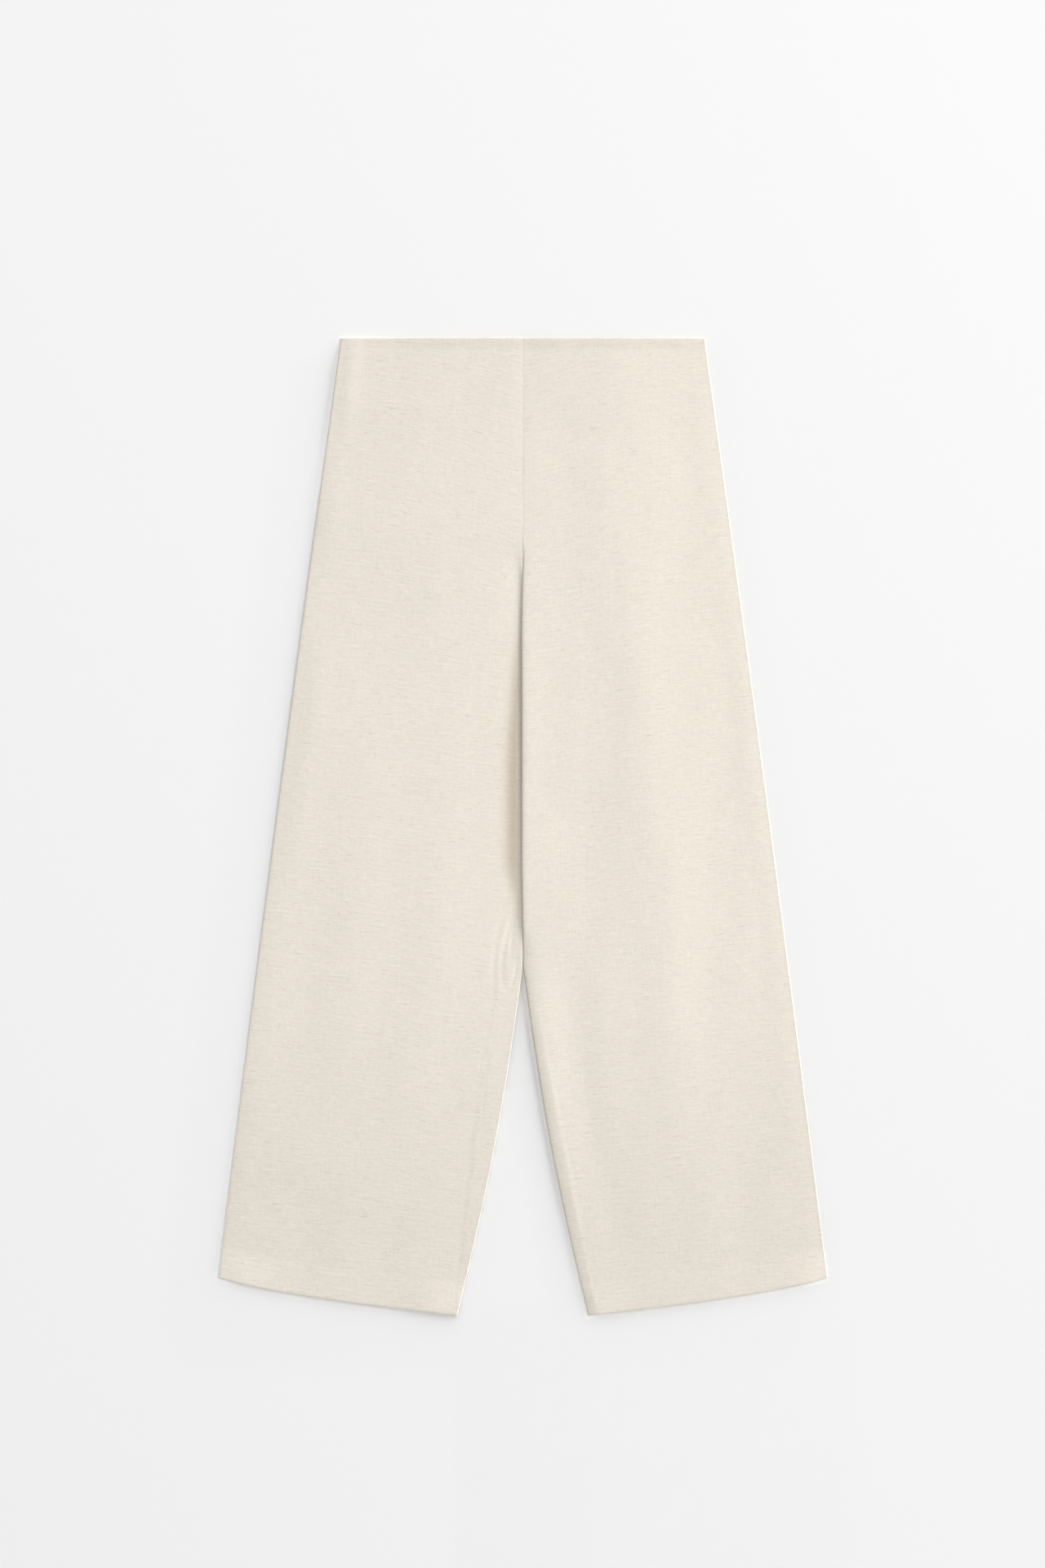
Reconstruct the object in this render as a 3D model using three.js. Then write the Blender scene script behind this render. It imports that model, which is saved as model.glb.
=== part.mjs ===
// Barrel leg trousers in linen, laid flat with the front upwards.
// Millimetres. X runs across, Y from the hems up to the waist, Z up through the layers.
// The back panels lie on Z = 0 and the origin is under the middle of the garment.
// Right and left are the wearer's: the right leg is at -X.
import * as THREE from "three";

// Driving dimensions
const length = 1000;            // waist edge to the inner hem corners
const waistWidth = 372;         // straight across the flat waist
const hemOuterX = 311.5;        // outer hem corner to the centre line
const hemInnerX = 68.2;         // inner hem corner to the centre line
const hemRise = 39;             // the outer hem corner ends this much higher than the inner one
const hemBulge = 5;             // rounding of the hem line
const hemSkew = 0.7;            // draws that rounding towards the outer corner
const sideBow = 2;              // outward rounding of the side seam
const inseamBow = 5;            // rounding of the leg's inner edge, which makes the barrel
const forkBelow = 644;          // below the waist, where the two legs part
const foldBelow = 206;          // below the waist, where the centre fold opens
const cloth = 1;                // thickness of one layer
const seamGap = 0.3;            // space between neighbouring pieces
const topLayer = 4.5;           // height of the middle of the front cloth over the floor
const foldRise = 2.6;           // how far the folded edge of the left leg stands above that
const valleyWidth = 25;         // width of the hollow that the right leg rolls down into
const tuckDepth = 8;            // how far the right leg's cloth runs on under the folded edge
const tuckLag = 3;              // how late the seam between the legs moves under it
const crestHeight = 1.2;        // soft lengthwise fold down the left leg
const crestReach = 20;          // how far it spreads to each side
const hemTurning = 30;          // depth of the turn-up inside the leg openings
const waistTurning = 11;        // depth of the turning inside the waist
const zipLength = 220;          // concealed zip in the right side seam
const zipTapeWidth = 12;        // width of the closed tape
const zipTapeInset = 9;         // tape edge to the side seam
const zipTapeTop = 14;          // top of the tape below the waist edge
const sliderWidth = 6;
const sliderLength = 9;
const pullWidth = 3.4;
const pullLength = 15;
const pullNeck = 2;             // narrow part between the slider and its pull
const sliderTop = 18;           // below the waist edge

const rollReach = 8;            // how far in from the side seam the rolled edge reaches
const rollSteps = 4;
const legFrom = 600;            // below the waist, where the right leg starts to round off
const legTo = 648;              // and where its inner edge is fully rolled

const half = cloth / 2;
const edgeFoot = cloth + seamGap;            // underside of cloth that rests on a back panel
const edgeDrop = topLayer - edgeFoot;        // how far a rolled edge comes down
const flatUnder = 0.02;         // turnings stop where the cloth above has dropped by this share

// The centre fold from top to fork: distance below the waist, then as shares of their full
// sizes the width of the hollow, how far the seam has sunk, the rise of the folded edge and
// how far the cloth is tucked under it.
const foldStations = [
  { below: foldBelow, width: 0.12, sink: 0, rise: 0, tuck: 0 },
  { below: 228, width: 0.2, sink: 0.45, rise: 0.08, tuck: 0 },
  { below: 252, width: 0.34, sink: 1, rise: 0.25, tuck: 0 },
  { below: 312, width: 0.55, sink: 1, rise: 0.6, tuck: 1 },
  { below: 350, width: 0.68, sink: 1, rise: 0.85, tuck: 1 },
  { below: 440, width: 0.9, sink: 1, rise: 1, tuck: 1 },
  { below: 530, width: 1, sink: 1, rise: 0.9, tuck: 1 },
  { below: 580, width: 0.75, sink: 1, rise: 0.55, tuck: 0.7 },
  { below: 620, width: 0.5, sink: 1, rise: 0.2, tuck: 0 },
  { below: forkBelow, width: 0.4, sink: 1, rise: 0, tuck: 0 },
];

// The soft crest down the left leg: its place from the centre line and its share of full height.
const crestStations = [
  { below: 90, x: 128, height: 0 },
  { below: 172, x: 113, height: 0.8 },
  { below: 282, x: 110, height: 1 },
  { below: 444, x: 136, height: 1 },
  { below: 560, x: 148, height: 0.9 },
  { below: 734, x: 158, height: 0.6 },
  { below: 900, x: 186, height: 0 },
];

// The right front where it nears the centre: distance from its end while it lies flat and as a
// rolled leg edge, place in the hollow as a fixed distance plus a share of the hollow's width,
// and how much of its drop each point has made in the hollow and on the rolled edge.
const hollowPoints = [
  { flat: 60, rolled: 60, lead: 40, hollow: 0.8, sunk: 0, dropped: 0 },
  { flat: 42, rolled: 40, lead: 24, hollow: 0.72, sunk: 0.02, dropped: 0 },
  { flat: 30, rolled: 26, lead: 12, hollow: 0.72, sunk: 0.09, dropped: 0 },
  { flat: 22, rolled: 16, lead: 5, hollow: 0.68, sunk: 0.24, dropped: 0 },
  { flat: 16, rolled: 9, lead: 2, hollow: 0.56, sunk: 0.48, dropped: 0.02 },
  { flat: 11, rolled: 5.2, lead: 1, hollow: 0.42, sunk: 0.74, dropped: 0.1 },
  { flat: 7, rolled: 2.8, lead: 1, hollow: 0.27, sunk: 0.92, dropped: 0.25 },
  { flat: 4, rolled: 1.3, lead: 1, hollow: 0.13, sunk: 0.98, dropped: 0.46 },
  { flat: 2, rolled: 0.6, lead: 1, hollow: 0.03, sunk: 1, dropped: 0.72 },
  { flat: 0, rolled: half, lead: 0, hollow: 0, sunk: 1, dropped: 1 },
];

// The left front where it nears the centre: distance from its end while it lies flat, distance
// from the outside of the edge when rolled and when folded under, the share of its drop as a
// rolled edge, its height when folded under, and its share of the folded edge's rise.
const underHeight = edgeFoot + cloth + seamGap + half;
const foldPoints = [
  { flat: 46, rolled: 46, under: 46, dropped: 0, height: topLayer, rise: 0.12 },
  { flat: 30, rolled: 30, under: 30, dropped: 0, height: topLayer, rise: 0.45 },
  { flat: 19, rolled: 18, under: 18, dropped: 0, height: topLayer, rise: 0.85 },
  { flat: 12, rolled: 10, under: 10, dropped: 0.02, height: topLayer, rise: 1 },
  { flat: 8, rolled: 5.4, under: 5.4, dropped: 0.1, height: topLayer - 0.2, rise: 1 },
  { flat: 5.4, rolled: 2.8, under: 2.6, dropped: 0.25, height: topLayer - 0.5, rise: 0.9 },
  { flat: 3.6, rolled: 1.3, under: 1, dropped: 0.44, height: topLayer - 0.8, rise: 0.65 },
  { flat: 2.2, rolled: 0.6, under: 0.5, dropped: 0.64, height: topLayer - 0.9, rise: 0.3 },
  { flat: 1.2, rolled: half, under: 1.4, dropped: 0.8, height: underHeight + 0.3, rise: 0.1 },
  { flat: 0.8, rolled: half, under: 4.5, dropped: 0.88, height: underHeight + 0.1, rise: 0 },
  { flat: 0.4, rolled: half, under: tuckDepth, dropped: 0.94, height: underHeight, rise: 0 },
  { flat: 0, rolled: half, under: tuckDepth + 3.5, dropped: 1, height: edgeFoot + half, rise: 0 },
];

// Rows of the panels, as spans below the waist with their number of steps.
const rowSpans = [
  { to: waistTurning, steps: 1 },
  { to: foldBelow, steps: 4 },
  { to: 312, steps: 7 },
  { to: 530, steps: 4 },
  { to: forkBelow, steps: 6 },
  { to: forkBelow + 26, steps: 1 },
  { to: length - hemTurning, steps: 6 },
  { to: length, steps: 1 },
];
const middleColumns = 6;        // between the side roll and the shaped part near the centre
const backColumns = 5;          // between a back panel's two edge columns

const linenColour = "#e9e1d5";
const tapeColour = "#e6dccb";
const metalColour = "#cfc9bd";

const mix = THREE.MathUtils.lerp;

// Value of one column of a station table at a distance below the waist, eased between rows.
function station(table, column, below) {
  const last = table[table.length - 1];
  if (below <= table[0].below) return table[0][column];
  if (below >= last.below) return last[column];
  const next = table.findIndex((row) => row.below > below);
  const a = table[next - 1];
  const b = table[next];
  return mix(a[column], b[column], THREE.MathUtils.smoothstep(below, a.below, b.below));
}

// Side seam: straight from waist to hem with a slight outward bow.
function sideX(below) {
  const share = below / length;
  return mix(waistWidth / 2, hemOuterX, share) + sideBow * Math.sin(Math.PI * share);
}

// Distance of a leg's inner edge from the centre line below the fork, bowed towards it.
function legInnerX(below) {
  const share = Math.max(0, (below - forkBelow) / (length - forkBelow));
  return hemInnerX * share - inseamBow * Math.sin(Math.PI * share);
}

// Line between the right and the left pieces: on the centre, then tucked under the fold. It
// lags behind the cloth that turns under, which leaves it room.
function seamX(below) {
  return tuckDepth * station(foldStations, "tuck", below) ** tuckLag;
}

// Y of a point: rows are level at the waist and slant and round off towards the hem.
function rowY(x, below) {
  const inner = legInnerX(below);
  const share = THREE.MathUtils.clamp((sideX(below) - x) / (sideX(below) - inner), 0, 1);
  const rounding = hemBulge * Math.sin(Math.PI * share ** hemSkew);
  const reach = length - hemRise * (1 - share) + rounding;
  return length / 2 - (below / length) * reach;
}

// Rolled side edge of a front panel: a quarter of an ellipse from the back panel up to the top.
function sideRoll(below) {
  const points = [];
  for (let step = 0; step <= rollSteps; step += 1) {
    const turn = (Math.PI / 2) * (step / rollSteps);
    const inset = half + rollReach * (1 - Math.cos(turn));
    points.push({ x: sideX(below) - inset, z: edgeFoot + edgeDrop * Math.sin(turn) });
  }
  return points;
}

// How much of a leg's rolled inner edge there is: none above the fork, all of it below.
function legShare(below) {
  return THREE.MathUtils.smoothstep(below, legFrom, legTo);
}

// Right front near the centre: flat at the seam, then sunk into the hollow, then a leg edge.
function hollowSection(below) {
  const sink = station(foldStations, "sink", below);
  const width = valleyWidth * station(foldStations, "width", below);
  const leg = legShare(below);
  const seamEnd = seamX(below) - seamGap;
  const last = hollowPoints.length - 1;
  return hollowPoints.map((point, index) => {
    const sunkX = index === last ? seamEnd : -seamGap - point.lead - point.hollow * width;
    const hollowX = mix(-seamGap - point.flat, sunkX, sink);
    const hollowZ = topLayer - sink * point.sunk * (topLayer - edgeFoot - half);
    const legX = -legInnerX(below) - seamGap - point.rolled;
    const legZ = topLayer - point.dropped * edgeDrop;
    return { x: -mix(hollowX, legX, leg), z: mix(hollowZ, legZ, leg) };
  });
}

// Left front near the centre: flat at the seam, then rolled over, folded under, and a leg edge.
// The cloth that turns under rises sooner than it moves in, to clear the right leg's cloth.
function foldSection(below) {
  const sink = station(foldStations, "sink", below);
  const rise = foldRise * station(foldStations, "rise", below);
  const tuck = station(foldStations, "tuck", below);
  const edge = legInnerX(below);
  return foldPoints.map((point) => {
    const turned = mix(point.rolled, point.under, tuck);
    const height = mix(topLayer - point.dropped * edgeDrop, point.height, Math.sqrt(tuck));
    return {
      x: edge + mix(point.flat, turned, sink),
      z: mix(topLayer, height, sink) + rise * point.rise,
    };
  });
}

// One row of a front panel, from the side seam to the centre, with x away from its side.
function frontSection(side, below) {
  const outer = sideRoll(below);
  const inner = side < 0 ? hollowSection(below) : foldSection(below);
  const start = outer[outer.length - 1].x;
  const middle = [];
  for (let column = 1; column <= middleColumns; column += 1) {
    middle.push({ x: mix(start, inner[0].x, column / (middleColumns + 1)), z: topLayer });
  }
  const section = [...outer, ...middle, ...inner];
  const crestX = station(crestStations, "x", below);
  const crest = side < 0 ? 0 : crestHeight * station(crestStations, "height", below);
  return section.map((point) => {
    const away = (point.x - crestX) / crestReach;
    return { x: point.x, z: point.z + crest * Math.exp(-away * away) };
  });
}

// One row of a back panel: flat on the floor, out to the same edges as the front. The columns
// next to the edges stand where the front's rolls end.
function backSection(side, below) {
  const tucked = seamX(below);
  const edge = legInnerX(below) + (side < 0 ? seamGap - tucked : tucked);
  const outer = sideX(below);
  const inset = half + rollReach;
  const points = [{ x: outer, z: half }];
  for (let column = 0; column <= backColumns; column += 1) {
    points.push({ x: mix(outer - inset, edge + inset, column / backColumns), z: half });
  }
  points.push({ x: edge, z: half });
  return points;
}

// Distances below the waist of every row.
function panelRows() {
  const rows = [0];
  for (const span of rowSpans) {
    const from = rows[rows.length - 1];
    for (let step = 1; step <= span.steps; step += 1) {
      rows.push(mix(from, span.to, step / span.steps));
    }
  }
  return rows;
}

// Middle surface of a panel as rows of points.
function panelGrid(side, sectionAt) {
  return panelRows().map((below) =>
    sectionAt(side, below).map((p) => new THREE.Vector3(side * p.x, rowY(p.x, below), p.z)),
  );
}

// Upward normal at each point of a grid, square to the cloth within its own section.
function gridNormals(grid, side) {
  return grid.map((row) =>
    row.map((_, c) => {
      const before = row[Math.max(c - 1, 0)];
      const after = row[Math.min(c + 1, row.length - 1)];
      const normal = new THREE.Vector3(after.z - before.z, 0, before.x - after.x);
      return normal.normalize().multiplyScalar(side);
    }),
  );
}

// The grid moved along its normals.
function movedGrid(grid, normals, distance) {
  return grid.map((row, r) =>
    row.map((point, c) => point.clone().addScaledVector(normals[r][c], distance)),
  );
}

// Part of a grid between two rows and two columns.
function partOfGrid(grid, rows, columns) {
  return grid.slice(rows[0], rows[1] + 1).map((row) => row.slice(columns[0], columns[1] + 1));
}

// Closed wall of cloth on both sides of a grid: top skin, underside and the four cut edges.
function clothWall(grid, side) {
  const normals = gridNormals(grid, side);
  const skins = [movedGrid(grid, normals, half), movedGrid(grid, normals, -half)];
  const rows = grid.length;
  const columns = grid[0].length;
  const positions = skins.flat(2).flatMap((point) => point.toArray());
  const at = (skin, r, c) => (skin * rows + r) * columns + c;
  const faces = [];
  const addQuad = (a, b, c, d) => {
    const corners = side < 0 ? [a, d, c, b] : [a, b, c, d];
    faces.push(corners[0], corners[1], corners[2], corners[0], corners[2], corners[3]);
  };
  for (let r = 0; r < rows - 1; r += 1) {
    for (let c = 0; c < columns - 1; c += 1) {
      addQuad(at(0, r, c), at(0, r, c + 1), at(0, r + 1, c + 1), at(0, r + 1, c));
      addQuad(at(1, r, c), at(1, r + 1, c), at(1, r + 1, c + 1), at(1, r, c + 1));
    }
    const last = columns - 1;
    addQuad(at(0, r, 0), at(0, r + 1, 0), at(1, r + 1, 0), at(1, r, 0));
    addQuad(at(0, r, last), at(1, r, last), at(1, r + 1, last), at(0, r + 1, last));
  }
  for (let c = 0; c < columns - 1; c += 1) {
    const last = rows - 1;
    addQuad(at(0, 0, c), at(1, 0, c), at(1, 0, c + 1), at(0, 0, c + 1));
    addQuad(at(0, last, c), at(0, last, c + 1), at(1, last, c + 1), at(1, last, c));
  }
  const geometry = new THREE.BufferGeometry();
  geometry.setAttribute("position", new THREE.Float32BufferAttribute(positions, 3));
  geometry.setIndex(faces);
  geometry.computeVertexNormals();
  return geometry;
}

function linen() {
  return new THREE.MeshStandardMaterial({ color: linenColour, roughness: 0.95, metalness: 0 });
}

function tapeCloth() {
  return new THREE.MeshStandardMaterial({ color: tapeColour, roughness: 0.85, metalness: 0 });
}

function sliderMetal() {
  return new THREE.MeshStandardMaterial({ color: metalColour, roughness: 0.4, metalness: 0.8 });
}

const group = new THREE.Group();

function addPiece(name, geometry, material) {
  const mesh = new THREE.Mesh(geometry, material);
  mesh.name = name;
  group.add(mesh);
}

// A leg panel with the turnings that are folded inside its waist and its hem.
function addPanel(name, side, face) {
  const isFront = face === "front";
  const grid = panelGrid(side, isFront ? frontSection : backSection);
  addPiece(`${face}_${name}`, clothWall(grid, side), linen());
  const inward = (cloth + seamGap) * (isFront ? -1 : 1);
  const inside = movedGrid(grid, gridNormals(grid, side), inward);
  const lastRow = grid.length - 1;
  const lastColumn = grid[0].length - 1;
  const innerPoints = side < 0 ? hollowPoints : foldPoints;
  const dropping = innerPoints.filter((point) => point.dropped > flatUnder).length;
  const first = isFront ? rollSteps : 1;
  const hemLast = lastColumn - (isFront ? dropping : 1);
  const hem = partOfGrid(inside, [lastRow - 1, lastRow], [first, hemLast]);
  const waist = partOfGrid(inside, [0, 1], [first, lastColumn]);
  addPiece(`hem_${face}_${name}`, clothWall(hem, side), linen());
  addPiece(`waist_${face}_${name}`, clothWall(waist, side), linen());
}

// Closed tape of the concealed zip, inside the right side seam on the back panel.
function addZipTape() {
  const rows = [zipTapeTop, zipTapeTop + zipLength / 2, zipTapeTop + zipLength];
  const grid = rows.map((below) =>
    [zipTapeInset, zipTapeInset + zipTapeWidth].map((inset) => {
      const x = sideX(below) - inset;
      return new THREE.Vector3(-x, rowY(x, below), edgeFoot + half);
    }),
  );
  addPiece("zip_tape", clothWall(grid, -1), tapeCloth());
}

// Slider and pull as one flat outline, lying on the tape along the side seam.
function addZipSlider() {
  const outline = new THREE.Shape();
  const body = sliderWidth / 2;
  const neck = pullNeck / 2;
  const pull = pullWidth / 2;
  outline.moveTo(-body, 0);
  outline.lineTo(-body * 0.7, -sliderLength);
  outline.lineTo(-neck, -sliderLength);
  outline.lineTo(-pull, -sliderLength - pullNeck);
  outline.lineTo(-pull, -sliderLength - pullLength + pull);
  outline.absarc(0, -sliderLength - pullLength + pull, pull, Math.PI, 2 * Math.PI, false);
  outline.lineTo(pull, -sliderLength - pullNeck);
  outline.lineTo(neck, -sliderLength);
  outline.lineTo(body * 0.7, -sliderLength);
  outline.lineTo(body, 0);
  outline.closePath();
  const shape = new THREE.ExtrudeGeometry(outline, { depth: cloth, bevelEnabled: false, curveSegments: 6 });
  const x = sideX(sliderTop) - zipTapeInset - zipTapeWidth / 2;
  const lean = sideX(sliderTop + sliderLength) - sideX(sliderTop);
  shape.rotateZ(-Math.atan2(lean, sliderLength));
  shape.translate(-x, rowY(x, sliderTop), edgeFoot + cloth + seamGap);
  addPiece("zip_slider", shape, sliderMetal());
}

for (const [name, side] of [["right", -1], ["left", 1]]) {
  addPanel(name, side, "front");
  addPanel(name, side, "back");
}
addZipTape();
addZipSlider();

export default group;
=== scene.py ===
import math
import bpy
import numpy as np
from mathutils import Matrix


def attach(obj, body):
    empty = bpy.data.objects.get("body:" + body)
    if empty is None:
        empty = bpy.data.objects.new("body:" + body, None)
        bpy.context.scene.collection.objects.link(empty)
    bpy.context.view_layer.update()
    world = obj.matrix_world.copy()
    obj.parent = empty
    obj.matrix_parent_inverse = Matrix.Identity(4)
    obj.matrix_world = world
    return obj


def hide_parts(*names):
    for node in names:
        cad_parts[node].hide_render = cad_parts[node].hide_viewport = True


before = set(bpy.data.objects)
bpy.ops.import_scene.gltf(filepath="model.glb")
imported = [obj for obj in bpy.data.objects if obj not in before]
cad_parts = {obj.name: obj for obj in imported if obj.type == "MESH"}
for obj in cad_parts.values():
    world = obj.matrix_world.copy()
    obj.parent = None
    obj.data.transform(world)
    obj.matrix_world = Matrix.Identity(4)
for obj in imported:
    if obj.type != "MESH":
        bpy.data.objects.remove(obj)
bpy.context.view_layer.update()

# Barrel leg trousers in pale linen, laid flat: metres, +Y towards the waist, +Z up.
# Right and left are the wearer's, so the right leg is at -X. A side of -1 is the right leg and
# 1 the left. A leg is worked out at +X and then mirrored. Below is the distance down from the
# waist, and a pair of such distances is where something starts and where it is complete.
mm = 0.001
seed = 41

garment = {
    "length": 1.0,          # waist edge to the inner hem corners
    "waistHalf": 0.186,     # centre line to the side seam at the waist
    "hemOuter": 0.3115,     # centre line to the outer hem corner
    "hemInner": 0.0670,     # centre line to the inner hem corner
    "hemRise": 0.039,       # the outer hem corner ends this much higher
    "hemBulge": 0.005,      # rounding of the hem line
    "hemSkew": 0.7,         # under 1 puts most of the rounding near the outer corner
    "sideBow": 0.002,       # outward rounding of the side seam
    "inseamBow": 0.0058,    # rounding of the inner leg line, the barrel
    "forkBelow": 0.644,     # where the legs part
    "waistLayer": 0.0049,   # middle of the front cloth over the floor at the waist
    "backLayer": 0.00034,   # middle of the back cloth over the floor
    "layerStep": 0.00065,   # from one layer to the one folded against it
    "cloth": 0.00055,       # thickness of one layer
    "edgeFoot": 0.0009,     # where the front's edge meets the back's
    "seamGap": 0.00012,
    "turnRadius": 0.00033,  # of the cloth folded round the hem and the waist edge
    "turnSteps": 6,
    "turnBack": 0.0016,     # how far that cloth goes back inside
    "turningStart": 0.0035, # the turnings begin this far from the folded edge
    "hemTurning": 0.030,
    "waistTurning": 0.011,
}
# middle of the front cloth over the floor further down, and where it eases to that height
topLayers = {
    "middle": (0.0045, 0, 0.12),
    "right": (0.0034, 0.20, 0.36),      # the right front lies flatter
    "leg": (0.0031, 0.58, 0.86),
    "hem": (0.0024, 0.86, 0.975),       # four layers up
}


def legName(side):
    # the wearer's left is at +X
    return "left" if side > 0 else "right"


def smooth(low, high, x):
    # share from 0 to 1 between low and high, eased at both ends
    t = np.clip((x - low) / (high - low), 0, 1)
    return t * t * (3 - 2 * t)


def bell(x, centre, reach):
    # 1 at the centre, falling off as exp of minus the square of the distance over the reach
    return np.exp(-((x - centre) / reach) ** 2)


def mix(a, b, t):
    # straight from a to b as t goes from 0 to 1
    return a + (b - a) * t


def within(span, x):
    # 1 in the middle of the span's four places, eased up over the first two and down over the rest
    return smooth(span[0], span[1], x) * smooth(span[3], span[2], x)


def station(table, column, below):
    # monotone cubic through the table's rows: the slope at a row is the harmonic mean of the
    # slopes on both sides, and 0 where they disagree
    xs = np.array(table["below"])
    ys = np.array(table[column])
    secant = np.diff(ys) / np.diff(xs)
    agree = secant[:-1] * secant[1:] > 0
    safe = np.where(agree, secant[:-1] + secant[1:], 1)
    inner = np.where(agree, 2 * secant[:-1] * secant[1:] / safe, 0)
    slopes = np.concatenate([[0], inner, [0]])
    at = np.clip(below, xs[0], xs[-1])
    k = np.clip(np.searchsorted(xs, at, side="right") - 1, 0, len(xs) - 2)
    h = xs[k + 1] - xs[k]
    t = (at - xs[k]) / h
    return (ys[k] * (1 + 2 * t) * (1 - t) ** 2 + ys[k + 1] * t * t * (3 - 2 * t)
            + h * slopes[k] * t * (1 - t) ** 2 - h * slopes[k + 1] * t * t * (1 - t))


def sideLine(below):
    # side seam: straight from waist to hem with a half sine of bow
    share = below / garment["length"]
    bow = garment["sideBow"] * np.sin(math.pi * share)
    return mix(garment["waistHalf"], garment["hemOuter"], share) + bow


def legLine(below):
    # inner leg line below the fork: straight, less a half sine of bow
    share = (below - garment["forkBelow"]) / (garment["length"] - garment["forkBelow"])
    share = np.clip(share, 0, 1)
    return garment["hemInner"] * share - garment["inseamBow"] * np.sin(math.pi * share)


def rowLine(x, below):
    # y of a point: level at the waist, then slanted and rounded towards the hem
    inner = legLine(below)
    share = np.clip((sideLine(below) - x) / (sideLine(below) - inner), 0, 1)
    rounding = garment["hemBulge"] * np.sin(math.pi * share ** garment["hemSkew"])
    reach = garment["length"] - garment["hemRise"] * (1 - share) + rounding
    return garment["length"] / 2 - below / garment["length"] * reach


def topHeight(side, below):
    # the front's height over the floor: eased from waist to middle, to lower leg, to hem
    height = garment["waistLayer"]
    for part, (layer, start, end) in topLayers.items():
        here = side < 0 if part == "right" else 1
        height = mix(height, layer, smooth(start, end, below) * here)
    return height


# The centre fold from its top to the fork: shares of the fold's measures below.
foldStations = {
    "below": [0.206, 0.228, 0.252, 0.312, 0.350, 0.440, 0.530, 0.580, 0.620, 0.644, 0.75, 0.90],
    # of the hollow
    "width": [0.12, 0.20, 0.34, 0.55, 0.68, 0.95, 1.0, 0.68, 0.50, 0.40, 0.40, 0.40],
    # of the seam at the bottom of the hollow
    "sink": [0, 0.35, 0.85, 1, 1, 1, 1, 1, 1, 1, 1, 1],
    # of the hollow's cloth standing up beside the folded edge
    "fill": [0, 0, 0, 0, 0, 0.3, 1, 1, 0.6, 0, 0, 0],
    # of the folded edge
    "rise": [0, 0.08, 0.25, 0.60, 0.85, 1, 0.90, 0.68, 0.52, 0.45, 0.30, 0.05],
    # of the cloth that turns under
    "tuck": [0, 0, 0, 1, 1, 1, 1, 0.7, 0, 0, 0, 0],
    # of the shade painted into the hollow's colour, for the light the folded edge keeps off
    "shade": [0, 0, 0.05, 0.25, 0.6, 1, 0.95, 0.3, 0.05, 0, 0, 0],
    # of the folded edge leaning over the hollow
    "lean": [0.9, 1, 1, 1, 1, 1, 1, 0.6, 0.2, 0, 0, 0],
}
fold = {
    "width": 0.025,         # of the hollow
    "rise": 0.0012,
    "lean": 0.0014,
    "tuck": 0.008,          # how far the seam lies under the folded edge
    "tuckLag": 3,           # the seam starts to go under later than the cloth
    "bottom": 0.0013,       # height of the seam over the floor
    "legSpan": (0.592, 0.634),          # the right leg's edge rounds off here
    "shadeCentre": 0.40,    # of the hollow's painted shade, as a share of the width
    "shadeReach": (0.0056, 0.0084),     # on the folded edge's side, and away from it
}

# Right front near the centre, as points of its section from the leg to the seam. flat is
# millimetres from the seam, rolled from the edge when it is rolled, and in the hollow a point
# is at lead plus a share of the width. Then shares of its drop, and steps to the next point.
hollowPoints = {
    "flat": [60, 42, 30, 22, 16, 11, 7, 4, 2, 0],
    "rolled": [60, 40, 26, 16, 9, 5.0, 2.4, 1.1, 0.45, 0.3],
    "lead": [40, 24, 12, 5, 2, 1, 1, 1, 1, 0],
    "hollow": [0.8, 0.72, 0.72, 0.68, 0.56, 0.42, 0.27, 0.13, 0.03, 0],
    "sunk": [0, 0.12, 0.34, 0.60, 0.83, 0.95, 0.95, 0.77, 0.55, 0.5],
    "filled": [0, 0, 0, 0, 0, 0, 0.05, 0.18, 0.28, 0.2],
    "dropped": [0, 0, 0, 0, 0, 0.01, 0.02, 0.05, 0.22, 1],
    "steps": [8, 6, 5, 4, 4, 3, 3, 3, 3],
}

# Left front near the centre, the same way: under is where it lies when folded, height its
# height then over the floor, and rise its share of the folded edge's rise. It drops as dropped
# says along the leg, and as tight says beside the seam.
foldPoints = {
    "flat": [60, 42, 28, 18, 12, 8, 5.4, 3.6, 2.2, 1.2, 0.8, 0.4, 0],
    "rolled": [60, 42, 28, 17, 10, 5.4, 2.8, 1.3, 0.5, 0.3, 0.3, 0.3, 0.3],
    "under": [60, 42, 28, 17, 10, 5.4, 2.6, 1, 0.3, 1.4, 4.5, 8, 11.5],
    "dropped": [0, 0, 0, 0.02, 0.12, 0.27, 0.41, 0.52, 0.65, 0.8, 0.88, 0.94, 1],
    "tight": [0, 0, 0, 0, 0, 0.02, 0.06, 0.14, 0.35, 0.8, 0.88, 0.94, 1],
    "height": [4.5, 4.5, 4.5, 4.5, 4.5, 4.5, 4.4, 4.15, 3.8, 3.4, 3.2, 3.1, 1.7],
    "rise": [0.06, 0.24, 0.5, 0.8, 0.96, 1, 0.94, 0.75, 0.35, 0.1, 0, 0, 0],
    "lean": [0, 0, 0.1, 0.3, 0.6, 0.9, 1, 1, 1, 1, 0.6, 0.2, 0],
    "steps": [8, 6, 5, 4, 4, 3, 3, 3, 3, 3, 3, 3],
}


def seamLine(below):
    # between the right and left pieces: on the centre, then under the fold
    return fold["tuck"] * station(foldStations, "tuck", below) ** fold["tuckLag"]


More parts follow.
